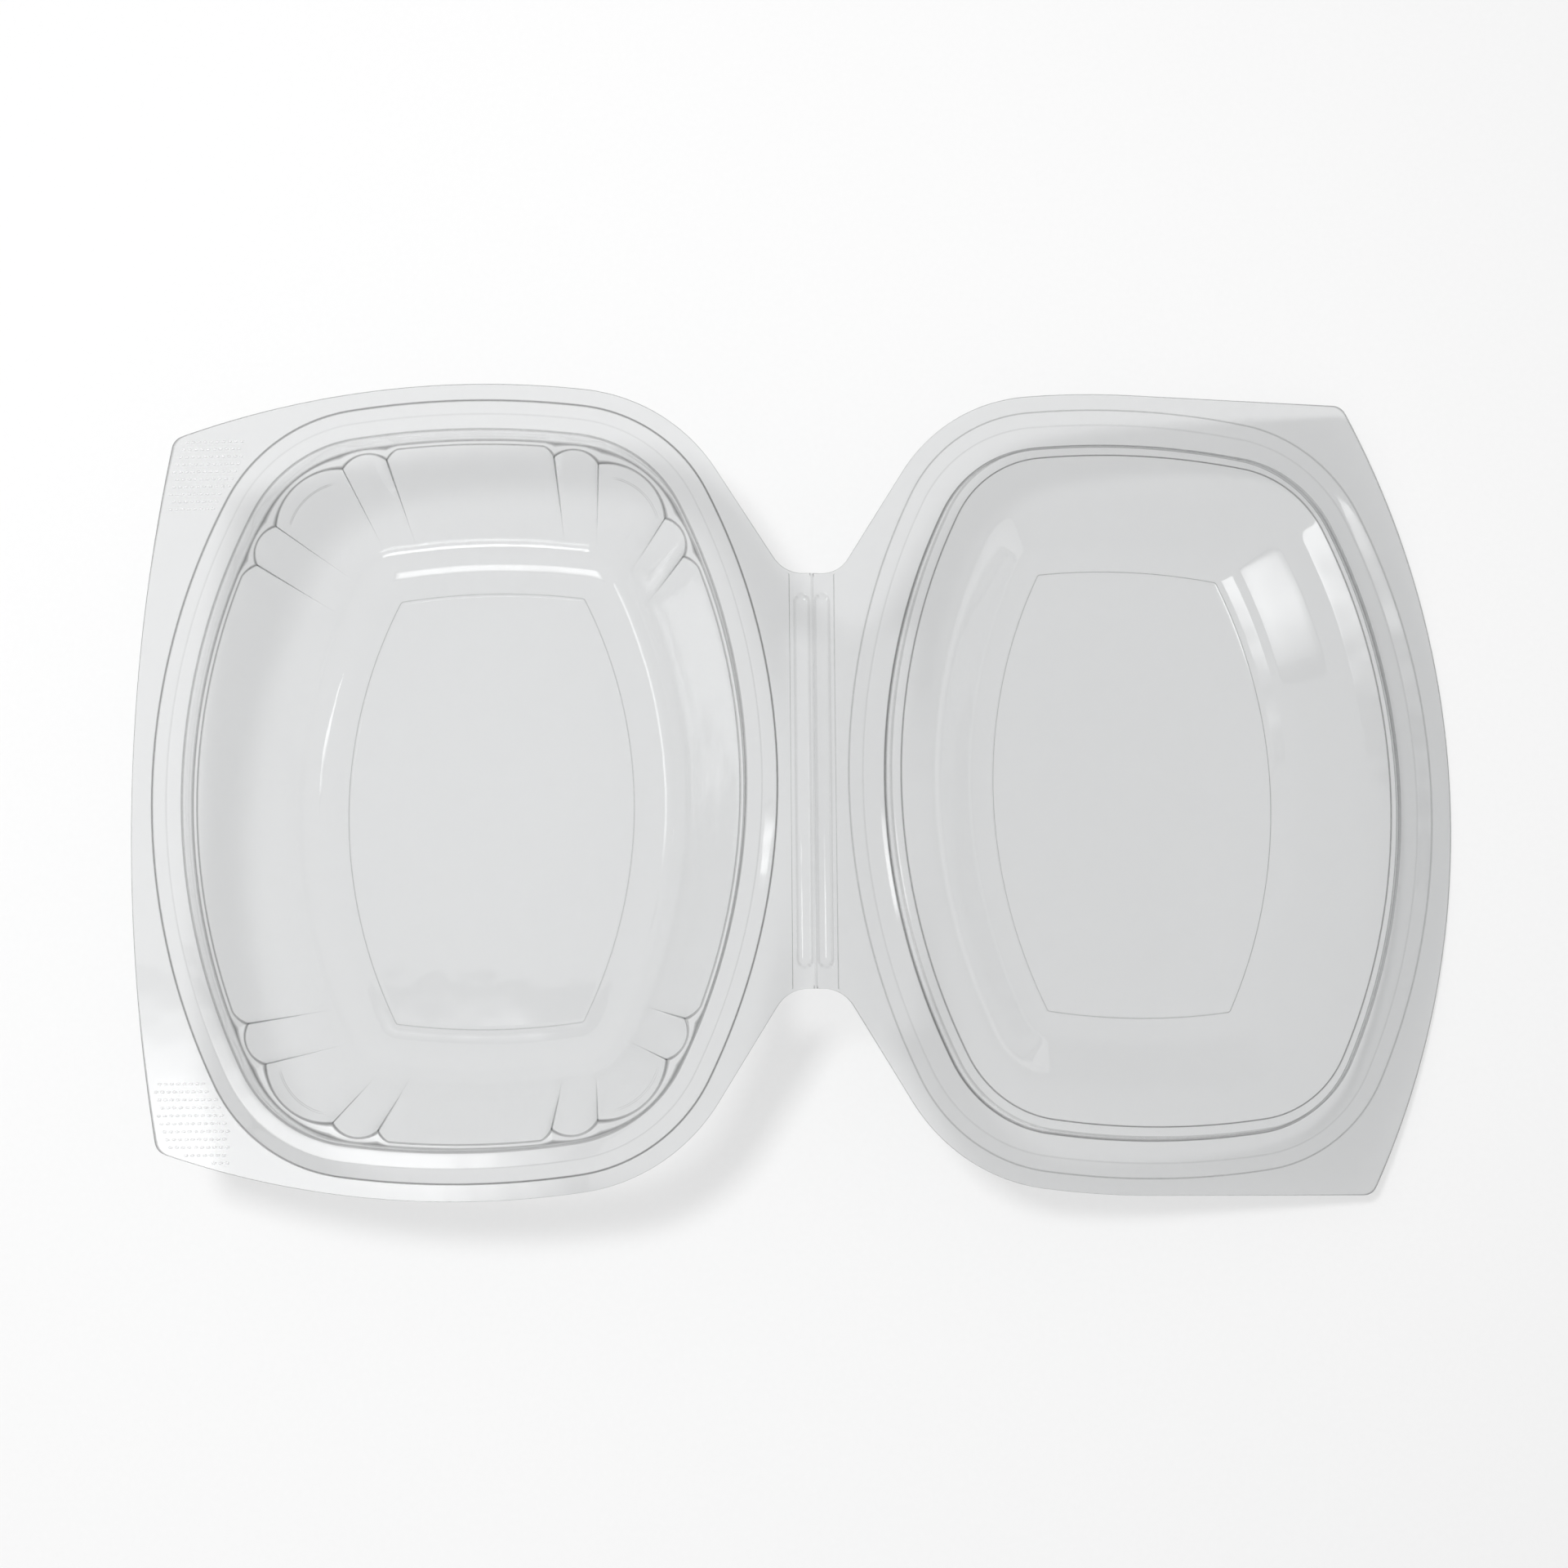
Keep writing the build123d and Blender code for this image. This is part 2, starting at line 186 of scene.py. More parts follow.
def spread(arc, count, crowd_start=False, crowd_stop=False):
    """Even shares of an arc from 0 up to, but not including, 1, with two more next to each
    chosen end, one and two and a half crease gaps away from it."""
    shares = list(np.arange(count) / count)
    close = crease_gap / (arc.radius * abs(arc.stop - arc.start))
    if crowd_start:
        shares[1:1] = [close, 2.5 * close]
    if crowd_stop:
        shares += [1 - 2.5 * close, 1 - close]
    return np.array(shares)


# Where panels end, and where creases and heads stand: shares of the side, the end and the corner.
side_marks = side_join * np.array([0, 0.788, 0.845, 0.906, 1])
end_marks = end_join * np.array([1, 0.77, 0.669, 0])
corner_turn = np.pi / 2 - end_join - side_join
corner_marks = side_join + corner_turn * np.array([0, 0.397, 0.819, 1])
shoulder_bulge = 0.4


def shoulder(panel, crease):
    """Three points of the short round from a panel into its crease, bulging outwards."""
    middle = (panel + crease) / 2
    return panel, middle * (1 + shoulder_bulge / np.hypot(*middle)), crease


print("panels end, creases and heads stand at", np.degrees(side_marks).round(1), "degrees")


# %% The quarter's columns as arrays
class Columns:
    """Columns of one quarter: arc centre, radius and angle, mouth point and crease strength."""

    def __init__(self):
        self.centre, self.radius, self.angle, self.mouth, self.crease = [], [], [], [], []

    def add(self, arc, shares, mouth=None, crease=None):
        """Columns on one arc; the mouth defaults to the plain outline at the mouth's inset."""
        shares = np.asarray(shares, float)
        self.centre.append(np.broadcast_to(arc.centre, (len(shares), 2)))
        self.radius.append(np.full(len(shares), arc.radius))
        self.angle.append(arc.start + (arc.stop - arc.start) * shares)
        self.mouth.append(arc.at(shares, mouth_inset) if mouth is None else mouth)
        self.crease.append(np.zeros(len(shares)) if crease is None else crease)

    def joined(self):
        parts = (self.centre, self.radius, self.angle, self.mouth, self.crease)
        return [np.concatenate(part) for part in parts]


def fluted_quarter():
    """Columns from the middle of the side to the middle of the end, through three flutes."""
    made = Columns()
    creased, headed = mouth_inset + crease_depth, mouth_inset + head_depth
    panel_length = side_r * side_marks[1]
    made.add(on_side(0, side_marks[1]), side_lengths(panel_length - 0.4) / panel_length)
    creases = [
        on_side(side_marks[2], 0).at(0, creased),
        on_side(side_marks[4], 0).at(0, creased),
        on_corner(corner_marks[2], 0).at(0, creased),
        on_end(end_marks[1], 0).at(0, creased),
    ]
    heads = [
        on_side(side_marks[3], 0).at(0, headed),
        on_corner(corner_marks[1], 0).at(0, headed),
        on_end(end_marks[0], 0).at(0, headed),
    ]
    flutes = [
        (on_side(*side_marks[2:4]), on_side(*side_marks[3:5]), 6),
        (on_corner(*corner_marks[0:2]), on_corner(*corner_marks[1:3]), 10),
        (on_corner(*corner_marks[2:4]), on_end(*end_marks[0:2]), 6),
    ]
    arc = on_side(side_marks[1], side_marks[2])
    shares = spread(arc, 4, crowd_stop=True)
    made.add(arc, shares, through(*shoulder(arc.at(0, mouth_inset), creases[0]), shares))
    for flute, head, start, stop in zip(flutes, heads, creases, creases[1:]):
        first_arc, second_arc, count = flute
        first = spread(first_arc, count, crowd_start=True)
        second = spread(second_arc, count, crowd_stop=True)
        made.add(first_arc, first, through(start, head, stop, first / 2), 1.0 * (first == 0))
        made.add(second_arc, second, through(start, head, stop, 0.5 + second / 2))
    arc = on_end(end_marks[1], end_marks[2])
    shares = spread(arc, 4, crowd_start=True)
    points = shoulder(on_end(end_marks[2], 0).at(0, mouth_inset), creases[3])
    made.add(arc, shares, through(*points, 1 - shares), 1.0 * (shares == 0))
    made.add(on_end(end_marks[2], end_marks[3]), np.linspace(0, 1, 12))
    return made.joined()


def smooth_quarter():
    """Columns from the middle of the side to the middle of the end, evenly spread."""
    made = Columns()
    side_length = side_r * side_join
    made.add(on_side(0, side_join), side_lengths(side_length - 0.6) / side_length)
    made.add(on_corner(corner_marks[0], corner_marks[3]), np.arange(30) / 30)
    made.add(on_end(end_join, 0), np.linspace(0, 1, 12))
    return made.joined()


quarter_counts = [len(quarter[1]) for quarter in (fluted_quarter(), smooth_quarter())]
print("columns in a quarter, fluted and smooth:", quarter_counts)


# %% [markdown]
# ## The flange's outer edge
# Outside the rim the sheet is flat and is cut to shape: straight flanks run down to the hinge
# strip, and the free side ends in two squared corners to lift the pack by. Each column is given a
# point of that cut edge. The points are matched by length along the rim, so no line crosses another.

# %% Pieces of the cut edge
flange_corner_r, flange_corner_inset = 43.0, 50.4
flank, notch_r, hinge_half = np.radians(32.0), 8.0, 48.2
flange_end_r = end_r + 10.4  # a little flatter than the rim's end
strip_x = fold_x - 5.3  # crease line beside the hinge strip
tab_half, tab_r = half_y - 8.0, 3.5  # the tray's grip corners
notch_stop_length, flank_stop_length, corner_stop_length = 56.5, 77.0, 108.5
front_stop_length, tab_stop_length, quarter_length = 85.0, 92.0, 136.2


def end_edge(x):
    """The flange's bowed end: y at each x, on a circle through its middle."""
    return end_half - flange_end_r + np.sqrt(flange_end_r**2 - np.asarray(x) ** 2)


def front_edge(front, radius, y):
    """The bowed free edge: how far out it is at each y, on a circle through its middle."""
    return front - radius + np.sqrt(radius**2 - np.asarray(y) ** 2)


def line(a, b, share):
    return np.asarray(a) + np.asarray(share)[:, None] * (np.asarray(b) - np.asarray(a))


def round_arc(centre, radius, start, stop, share):
    angle = start + (stop - start) * np.asarray(share)
    return np.asarray(centre) + radius * np.stack([np.cos(angle), np.sin(angle)], -1)


def follow(length, marks, pieces):
    """Each length's point, from the piece whose range of lengths it falls in."""
    out = np.zeros((len(length), 2))
    for low, high, piece in zip(marks, marks[1:], pieces):
        inside = (length >= low - 1e-6) & (length <= high + 1e-6)
        out[inside] = piece(np.clip((length[inside] - low) / (high - low), 0, 1))
    return out


# %% The half of the edge beside the hinge, and the free half
def hinge_edge(length):
    """Points of the cut edge for lengths along the rim from the middle of the side.
    Strip edge, strip end, hollow notch, straight flank, round corner and bowed end follow
    one another, each over its own range of lengths."""
    corner_x = half_x - flange_corner_inset
    centre_y = end_half - flange_end_r
    corner_y = centre_y + np.sqrt((flange_end_r - flange_corner_r) ** 2 - corner_x**2)
    end_turn = np.arctan2(corner_y - centre_y, corner_x)
    flange_end_x = corner_x + flange_corner_r * np.cos(end_turn)
    flank_top = round_arc((corner_x, corner_y), flange_corner_r, flank, flank, [0.0])[0]
    notch_x = flank_top[0] + (flank_top[1] - hinge_half) * np.tan(flank)
    reach = notch_r * np.tan((np.pi / 2 - flank) / 2)
    notch_centre = (notch_x + reach, hinge_half + notch_r)
    notch_turn = -np.pi + flank
    flank_foot = round_arc(notch_centre, notch_r, notch_turn, notch_turn, [0.0])[0]
    edge_x = fold_x - fold_half_gap
    marks = [0.0, strip_end_length, notch_start_length, notch_stop_length]
    marks += [flank_stop_length, corner_stop_length, quarter_length]
    pieces = [
        lambda t: line((edge_x, 0), (edge_x, hinge_half), t),
        lambda t: line((edge_x, hinge_half), (notch_centre[0], hinge_half), t),
        lambda t: round_arc(notch_centre, notch_r, -np.pi / 2, notch_turn, t),
        lambda t: line(flank_foot, flank_top, t),
        lambda t: round_arc((corner_x, corner_y), flange_corner_r, flank, end_turn, t),
        lambda t: np.stack([(1 - t) * flange_end_x, end_edge((1 - t) * flange_end_x)], -1),
    ]
    return follow(length, marks, pieces)


def free_edge(length, front, front_r, corner_y, end_y):
    """The same on the free side: the bowed front, the rounded corner and the end. The round is
    tangent to the two edges' chords over a short step next to the sharp corner."""
    step = 3
    corner = np.array([front_edge(front, front_r, corner_y), corner_y])
    before = unit(np.array([front_edge(front, front_r, corner_y - step), corner_y - step]) - corner)
    after = unit(np.array([corner[0] - step, end_y(corner[0] - step)]) - corner)
    half_open = np.arccos(before @ after) / 2
    cut = tab_r / np.tan(half_open)
    centre = corner + (before + after) / np.hypot(*(before + after)) * tab_r / np.sin(half_open)
    first, last = corner + before * cut, corner + after * cut
    off_x, off_y = np.array([first, last]).T - centre[:, None]
    angles = np.unwrap(np.arctan2(off_y, off_x))
    marks = [0.0, front_stop_length, tab_stop_length, quarter_length]
    pieces = [
        lambda t: np.stack([front_edge(front, front_r, t * first[1]), t * first[1]], -1),
        lambda t: round_arc(centre, tab_r, *angles, t),
        lambda t: np.stack([(1 - t) * last[0], end_y((1 - t) * last[0])], -1),
    ]
    return follow(length, marks, pieces)


print("notch begins at", hinge_edge(np.array([notch_start_length]))[0].round(2))


# %% [markdown]
# ## All the way round
# Four quarters make the loop: the first and the last are on the hinge side, the middle two on the
# free side. Mirrored quarters run backwards, so the columns stay in one anticlockwise order.

# %% Close the loop of columns
arch_middle, arch_half, arch_fade = 0.46, 0.30, 0.06  # shares of the wide flute


def rim_length(centre, radius, angle):
    """Length along the rim from the middle of the side, added up from column to column."""
    points = centre + radius[:, None] * np.stack([np.cos(angle), np.sin(angle)], -1)
    return np.concatenate([[0], np.cumsum(np.hypot(*np.diff(points, axis=0).T))])


class Loop:
    """Every column of a whole outline, with its signs, its crease strength, its cut edge, and
    how much of the arch line across the wide flute it carries."""

    def __init__(self, quarter, free):
        centre, radius, angle, mouth, crease = quarter
        length = rim_length(centre, radius, angle)
        beside_hinge = hinge_edge(length)
        at_front = free(length)
        self.centre, self.mouth, self.edge, self.signs = [], [], [], []
        self.radius, self.angle, self.crease, self.length = [], [], [], []
        for sign_x, sign_y in ((1, 1), (-1, 1), (-1, -1), (1, -1)):
            order = slice(None, -1) if sign_x * sign_y > 0 else slice(None, 0, -1)
            sign = np.array([sign_x, sign_y])
            self.centre.append(centre[order])
            self.mouth.append(mouth[order] * sign)
            self.edge.append((beside_hinge if sign_x > 0 else at_front)[order] * sign)
            self.signs.append(np.broadcast_to(sign, centre[order].shape))
            self.radius.append(radius[order])
            self.angle.append(angle[order])
            self.crease.append(crease[order])
            self.length.append(length[order])
        for name, value in list(vars(self).items()):
            setattr(self, name, np.concatenate(value))
        across = (self.angle - corner_marks[0]) / (corner_marks[2] - corner_marks[0])
        from_ends = arch_half + arch_fade - np.abs(across - arch_middle)
        self.arch = np.clip(from_ends / arch_fade, 0, 1) * (self.radius == corner_r)

    def at(self, inset):
        """Points of the barrel at an inset: one per column."""
        reach = (self.radius - inset)[:, None]
        direction = np.stack([np.cos(self.angle), np.sin(self.angle)], -1)
        return (self.centre + reach * direction) * self.signs


# The free edges: how far out the lid's is, and the radii of their bows.
lid_front, lid_front_r = half_x + 4.9, 2.186 * half_y
tray_front_r = 4.9 * half_y


def lid_end(x):
    """The lid's end runs nearly straight out to the tip of the ear."""
    tip = front_edge(lid_front, lid_front_r, ear_half)
    return end_half + (ear_half - end_half) * np.asarray(x) / tip


tray_loop = Loop(
    fluted_quarter(),
    lambda length: free_edge(length, tray_front, tray_front_r, tab_half, end_edge),
)
lid_loop = Loop(
    smooth_quarter(),
    lambda length: free_edge(length, lid_front, lid_front_r, ear_half, lid_end),
)
print("columns:", len(tray_loop.radius), "round the tray,", len(lid_loop.radius), "round the lid")

# %% [markdown]
# ## The profile from the rim to the floor
# Seen in section, the sheet is a chain of flats and small rounds. Each corner of the chain has a
# radius, a number of steps and a line strength. A tight bend in clear sheet bends light away from
# the eye and shows as a hair-thin dark line, so the line strength is kept for the material, where
# that dark line is painted shade.


# %% Round a chain of corners
def rounded_profile(corners):
    """Insets, heights and line strengths of the rows. A corner is (inset, height, radius, steps,
    line, rows to the next corner). Its arc is tangent to both neighbours: the cut is the radius
    times the tangent of half the turn. The straight rows lie between one arc and the next."""
    points = np.array([corner[:2] for corner in corners], float)
    rows = []
    for k, (inset, height, radius, steps, strength, gap) in enumerate(corners):
        arc = points[k][None]
        weight = np.zeros(1)
        if 0 < k < len(corners) - 1:
            before, after = unit(points[k] - points[k - 1]), unit(points[k + 1] - points[k])
            turn = np.arctan2(before[0] * after[1] - before[1] * after[0], before @ after)
            start = points[k] - before * radius * np.tan(abs(turn) / 2)
            normal = turned(before) * np.sign(turn)
            share = np.linspace(0, 1, steps + 1)
            along = radius * np.sin(abs(turn) * share)
            aside = radius * (1 - np.cos(turn * share))
            arc = start + along[:, None] * before + aside[:, None] * normal
            weight = strength * (1 - np.abs(2 * share - 1))
        if k:
            share = (np.arange(waiting) + 1)[:, None] / (waiting + 1)
            run = last + share * (arc[0] - last)
            rows += [(*point, 0.0) for point in run]
        rows += [(*point, w) for point, w in zip(arc, weight)]
        last, waiting = arc[-1], gap
    return np.array(rows).T


# %% The tray's profile, in heights above the table
band_rise, socket_depth, wall_draft, foot_step = 0.7, 7.0, 0.5, 0.5
band_z = rim_z + band_rise
ledge_z = rim_z + band_rise - socket_depth
fade_z = 8.0  # height at which the flutes have run out
ring_z = sheet + foot_step
socket_foot_inset, panel_inset = 8.0, corner_r - 1.1
arch_drop, arch_line_half = 5.0, 0.15  # the arch line's depth below the ledge, and half its width


def on_wall(drop):
    """Inset and height of the wall that far below the ledge."""
    return mouth_inset + wall_draft * drop, ledge_z - drop


tray_profile = rounded_profile([
    (-0.5, rim_z, 0, 0, 0, 0),
    (0, rim_z, 3.0, 4, 0.75, 2),
    (3.5, band_z, 3.0, 4, 0.1, 2),
    (7.5, band_z, 0.7, 6, 0.55, 2),
    (socket_foot_inset, ledge_z, 0.35, 4, 0.6, 0),
    (mouth_inset, ledge_z, 0.6, 6, 0.7, 1),
    (*on_wall(arch_drop - arch_line_half), 0.1, 0, 0, 0),
    (*on_wall(arch_drop), 0.1, 0, 0, 0),
    (*on_wall(arch_drop + arch_line_half), 0.1, 0, 0, 12),
    (*on_wall(ledge_z - ring_z), 11.0, 12, 0, 1),
    (panel_inset, ring_z, 0.5, 4, 0.45, 0),
    (panel_inset + foot_step, sheet, 0.4, 4, 0, 0),
    (panel_inset + 2 * foot_step, sheet, 0, 0, 0, 0),
])
print("tray profile rows:", tray_profile.shape[1])

# %% The lid's profile, in heights above its own flange
plug_top, plug_edge_inset = 2.5, 11.8
shoulder_inset, shoulder_z = 19.8, 0.8
dome_foot_inset, dome_foot_z = 32.0, -8.8
dome_edge_inset, dome_edge_z, dome_floor_z = 36.2, -9.65, -10.1
lid_profile = rounded_profile([
    (-0.5, 0.0, 0, 0, 0, 0),
    (0.0, 0.0, 3.0, 4, 0.35, 2),
    (3.5, -band_rise, 3.0, 4, 0.1, 2),
    (8.7, -band_rise, 0.4, 4, 0.9, 0),
    (9.1, plug_top, 0.7, 6, 0.3, 1),
    (plug_edge_inset, plug_top, 2.4, 8, 0.75, 4),
    (shoulder_inset, shoulder_z, 14.0, 8, 0, 6),
    (dome_foot_inset, dome_foot_z, 5.0, 8, 0, 2),
    (dome_edge_inset, dome_edge_z, 4.0, 5, 0, 0),
    (corner_r - 0.9, dome_edge_z, 0.5, 4, 0.6, 0),
    (corner_r - 0.4, dome_floor_z, 0.4, 3, 0, 0),
    (corner_r - 0.1, dome_floor_z, 0, 0, 0, 0),
])
print("lid profile rows:", lid_profile.shape[1])

# %% [markdown]
# ## The flange and the hinge strip
# Outside the rim the sheet stays flat, and the thermoformer presses one long round-ended bead on
# each side of the fold so that the strip bends only between them. Each column runs from the rim to
# a crease line beside the strip and on to the cut edge, and the bead is a formula in x and y.

# %% Flange rows, with the bead pressed in: depth * (1 - reach^2)^0.6 inside its outline
bead_half, bead_width, bead_depth, bead_gap = 43.2, 3.4, 0.8, 0.4
bead_x = fold_x - fold_half_gap - bead_gap - bead_width / 2
bead_line, cut_line, strip_line = 0.14, 0.5, 0.45  # line strengths
bead_line_reach, bead_line_width = 0.95, 0.14
crease_share, strip_fade_length = 0.5, 62  # away from the strip, the crease line is half way out


def bead_reach(x, y):
    """Distance from the line between the bead's two end centres, over half the bead's width."""
    beyond = np.maximum(np.abs(y) - (bead_half - bead_width / 2), 0)
    return np.hypot(x - bead_x, beyond) / (bead_width / 2)


def flange_rows(loop, z):
    """Rows from the cut edge to the rim, as x, y, z and line strength. Two spans, edge to crease
    line and crease line to rim, each a straight line in plan. The height is z less the bead."""
    rim = loop.at(-0.5)
    beside = (loop.signs[:, 0] > 0) & (loop.length <= notch_start_length + 0.01)
    at_strip = (strip_x - rim[:, 0]) / np.where(beside, loop.edge[:, 0] - rim[:, 0], 1)
    held = at_strip[beside].max()
    fading = np.interp(loop.length, [notch_start_length, strip_fade_length], [held, crease_share])
    share = np.where(beside, at_strip, fading)
    crease = rim + share[:, None] * (loop.edge - rim)
    outer = np.concatenate([np.linspace(0, 0.95, 17), [0.98]])
    inner = np.array([0.0, 0.02, 0.05, 0.35, 0.7])
    spans = [loop.edge + t * (crease - loop.edge) for t in outer]
    spans += [crease + t * (rim - crease) for t in inner]
    points = np.array(spans)
    reach = bead_reach(points[..., 0], points[..., 1])
    strength = bead_line * np.exp(-(((reach - bead_line_reach) / bead_line_width) ** 2))
    strength[0] = cut_line * (~beside | (loop.length > strip_end_length - 0.5))
    strength[len(outer)] = strip_line * beside
    height = z - bead_depth * np.maximum(0, 1 - reach**2) ** 0.6
    return np.dstack([points, height]), strength


# %% Rows below the rim
fade_ease = 0.14
crease_line, arch_line = 0.95, 0.6  # line strengths


def weight_of_flutes(inset, z):
    """How much of the flutes a row carries: it grows across the ledge, falls evenly down the wall
    and runs out in a parabola, so that the flutes melt into the round at the wall's foot."""
    across = np.clip((inset - socket_foot_inset) / (mouth_inset - socket_foot_inset), 0, 1)
    down = (z - fade_z) / (ledge_z - fade_z)
    eased = np.clip(down + fade_ease, 0, 2 * fade_ease) ** 2 / (4 * fade_ease)
    down = np.where(down < fade_ease, eased, np.clip(down, 0, 1))
    return np.minimum(across, down)


def bowl_rows(loop, profile, fluted):
    """Rows from the rim to the floor panel's edge: the barrel at the row's inset, moved by the
    row's share of the flutes, at the row's height."""
    inset, z, line = profile
    weight = weight_of_flutes(inset, z) if fluted else np.zeros_like(inset)
    flute = loop.mouth - loop.at(mouth_inset)
    plan = np.array([loop.at(depth) for depth in inset]) + weight[:, None, None] * flute
    height = np.broadcast_to(z[:, None], plan.shape[:2])
    below = np.where(inset > mouth_inset - 0.2, weight, 0)[:, None] * loop.crease
    strength = np.maximum(line[:, None], crease_line * below**0.7)
    if fluted:
        arch = np.abs(z - (ledge_z - arch_drop)) < arch_line_half / 3
        strength[arch] += arch_line * loop.arch
    return np.dstack([plan, height]), strength


def floor_rows(edge_row, count=5):
    """Rings that shrink evenly towards the middle of the floor panel."""
    shares = (1 - np.arange(1, count + 1) / (count + 1)) ** 0.8
    flat, upright = np.array([1, 1, 0]), np.array([0, 0, 1])
    return edge_row * flat * shares[:, None, None] + edge_row * upright


# %% [markdown]
# ## From rows to a sheet
# A sheet is one grid: rings of points from the cut edge to the middle of the floor, closed with a
# single point. The Solidify modifier gives it its thickness downwards, as a mould would leave it,
# and closes the cut edge. The line strength rides along as an attribute on the points.

# %% Helpers that every piece uses
def put(name, data):
    """A new object that holds this data, linked into the scene."""
    made = bpy.data.objects.new(name, data)
    bpy.context.scene.collection.objects.link(made)
    return made


def ring_quads(rings):
    """Four-cornered cells between each ring of point numbers and the next, all the way round."""
    after = np.roll(rings, -1, axis=1)
    return np.stack([rings[:-1], after[:-1], after[1:], rings[1:]], -1).reshape(-1, 4)


def ring_fan(ring, tip):
    """Three-cornered cells from a ring of point numbers to one point."""
    return np.stack([ring, np.roll(ring, -1), np.full(len(ring), tip)], -1)


def write_lines(mesh, strength):
    lines = mesh.attributes.new("bend_line", "FLOAT", "POINT")
    lines.data.foreach_set("value", strength.astype(np.float32))


# %% Build one sheet
rim_width = 7.4


def make_sheet(name, rows, strength, rim_rings, place):
    """A mesh from rings of points, and one point in the middle; place turns mould points into the
    shared frame. The first rings, out to the cut edge, take the second finish, which casts a painted
    drop shadow, apart from the part beside the fold, which keeps the first finish."""
    ring_count, columns = rows.shape[:2]
    middle = rows[-1].mean(0)
    points = place(np.vstack([rows.reshape(-1, 3), middle])) * MM
    rings = np.arange(ring_count * columns).reshape(ring_count, columns)
    quads, fan = ring_quads(rings), ring_fan(rings[-1], len(points) - 1)
    mesh = bpy.data.meshes.new(name)
    mesh.from_pydata(points.tolist(), [], quads.tolist() + fan.tolist())
    write_lines(mesh, np.append(strength.ravel(), 0.0))
    in_rim = np.arange(len(quads)) < rim_rings * columns
    x, y = rows.reshape(-1, 3)[quads[:, 0], :2].T
    in_rim &= (x < half_x - rim_width) | (np.abs(y) > hinge_half)
    finishes = np.append(in_rim, np.zeros(len(fan), bool))
    mesh.polygons.foreach_set("material_index", finishes.astype(np.int32))
    mesh.shade_smooth()
    made = put(name, mesh)
    thick = made.modifiers.new("thickness", "SOLIDIFY")
    thick.thickness = sheet * MM
    thick.offset = -1
    print(name, "rings", ring_count, "columns", columns, "cells", len(quads) + len(fan))
    return made


def whole_sheet(loop, profile, z, fluted):
    """The three runs of rows, one after another, their line strengths, and how many rings make
    the rim: those of the flange and of the closing band."""
    flange, flange_line = flange_rows(loop, z)
    bowl, bowl_line = bowl_rows(loop, profile, fluted)
    floor = floor_rows(bowl[-1])
    rows = np.concatenate([flange, bowl, floor])
    strength = np.concatenate([flange_line, bowl_line, np.zeros(floor.shape[:2])])
    rim_rings = len(flange) + int((profile[0] < rim_width).sum())
    return rows, strength, rim_rings


# %% The tray
tray_rows = whole_sheet(tray_loop, tray_profile, rim_z, True)
tray_sheet = make_sheet("tray_sheet", *tray_rows, np.asarray)

# %% [markdown]
# ## The lid hangs from the fold
# Lying open, the lid turns down until its free edge touches the table. The angle comes from the
# fold's height and the reach of the lid's free edge, and the lid's surface is worked out flat, like
# the tray, then turned with it.

# %% Place the lid
def droop_to_table(reach, depth):
    """Angle at which a point that far out, and that far below the fold's line, touches z = 0."""
    return np.arcsin(fold_z / np.hypot(reach, depth)) - np.arctan2(depth, reach)


droop = droop_to_table(fold_x + lid_front, closed_gap / 2 + sheet)
fold_point = np.array([fold_x, 0, fold_z])
lid_out = np.array([np.cos(droop), 0, -np.sin(droop)])
lid_up = np.array([np.sin(droop), 0, np.cos(droop)])
lid_middle = fold_point + lid_out * fold_x - lid_up * closed_gap / 2
lid_axes = np.array([-lid_out, [0, -1, 0], lid_up])
print("droop", round(float(np.degrees(droop)), 3), "degrees")


def on_lid(points):
    """Mould points of the lid, in the shared frame: its middle plus each axis times its share."""
    return lid_middle + np.asarray(points) @ lid_axes


lid_rows = whole_sheet(lid_loop, lid_profile, 0.0, False)
lid_sheet = make_sheet("lid_sheet", *lid_rows, on_lid)

# %% [markdown]
# ## The fold
# The fold itself is the same sheet, pressed thinner by a rule in the mould. It is less than a
# millimetre wide. It is built where it lies with the lid hanging open, and rides on neither body.

# %% The thin strip between the two halves
fold_sink, fold_sheet, fold_line = 0.08, 0.35, 0.1  # the last is a line strength


def make_fold():
    """A thin closed bar along y. Its section runs from the tray's edge to the lid's edge, on a
    straight line that sinks a little in the middle: fold_sink * (1 - (2t - 1)^2)."""
    tray_edge = np.array([fold_x - fold_half_gap, 0, rim_z])
    lid_edge = on_lid([[fold_x - fold_half_gap, 0, 0]])[0]
    across = np.linspace(0, 1, 9)[:, None]
    sink = np.array([0, 0, fold_sink]) * (1 - (2 * across - 1) ** 2)
    top = tray_edge + across * (lid_edge - tray_edge) - sink
    under = top[::-1] - np.array([0, 0, fold_sheet])
    section = np.concatenate([top, under])
    along = np.linspace(-hinge_half, hinge_half, 49)
    points = section[None] + np.array([0, 1, 0]) * along[:, None, None]
    rings = np.arange(len(along) * len(section)).reshape(len(along), len(section))
    faces = ring_quads(rings)[:, ::-1].tolist() + [rings[0].tolist(), rings[-1].tolist()[::-1]]
    mesh = bpy.data.meshes.new("hinge_fold")
    mesh.from_pydata((points.reshape(-1, 3) * MM).tolist(), [], faces)
    half_section = fold_line * np.sin(np.pi * across[:, 0])
    write_lines(mesh, np.tile(half_section, 2 * len(along)))
    return put("hinge_fold", mesh), tray_edge * MM, lid_edge * MM


hinge_fold, fold_start, fold_end = make_fold()
print("fold from", fold_start.round(5), "to", fold_end.round(5))

# %% [markdown]
# ## Grip texture
# The two free corners of the tray carry rows of short raised dashes, so that wet fingers can pull
# the pack open. In the mould they are small pits; here each one is a low dome on the flange.

# %% The dashes
dash_pitch_x, dash_pitch_y = 1.45, 1.8
dash_half, dash_height, dash_sunk = np.array([0.52, 0.32]), 0.3, 0.05
dash_first_x, dash_last_x = -71.4, -53.5
rim_margin, end_margin, front_margin = 1.0, 1.3, 1.6


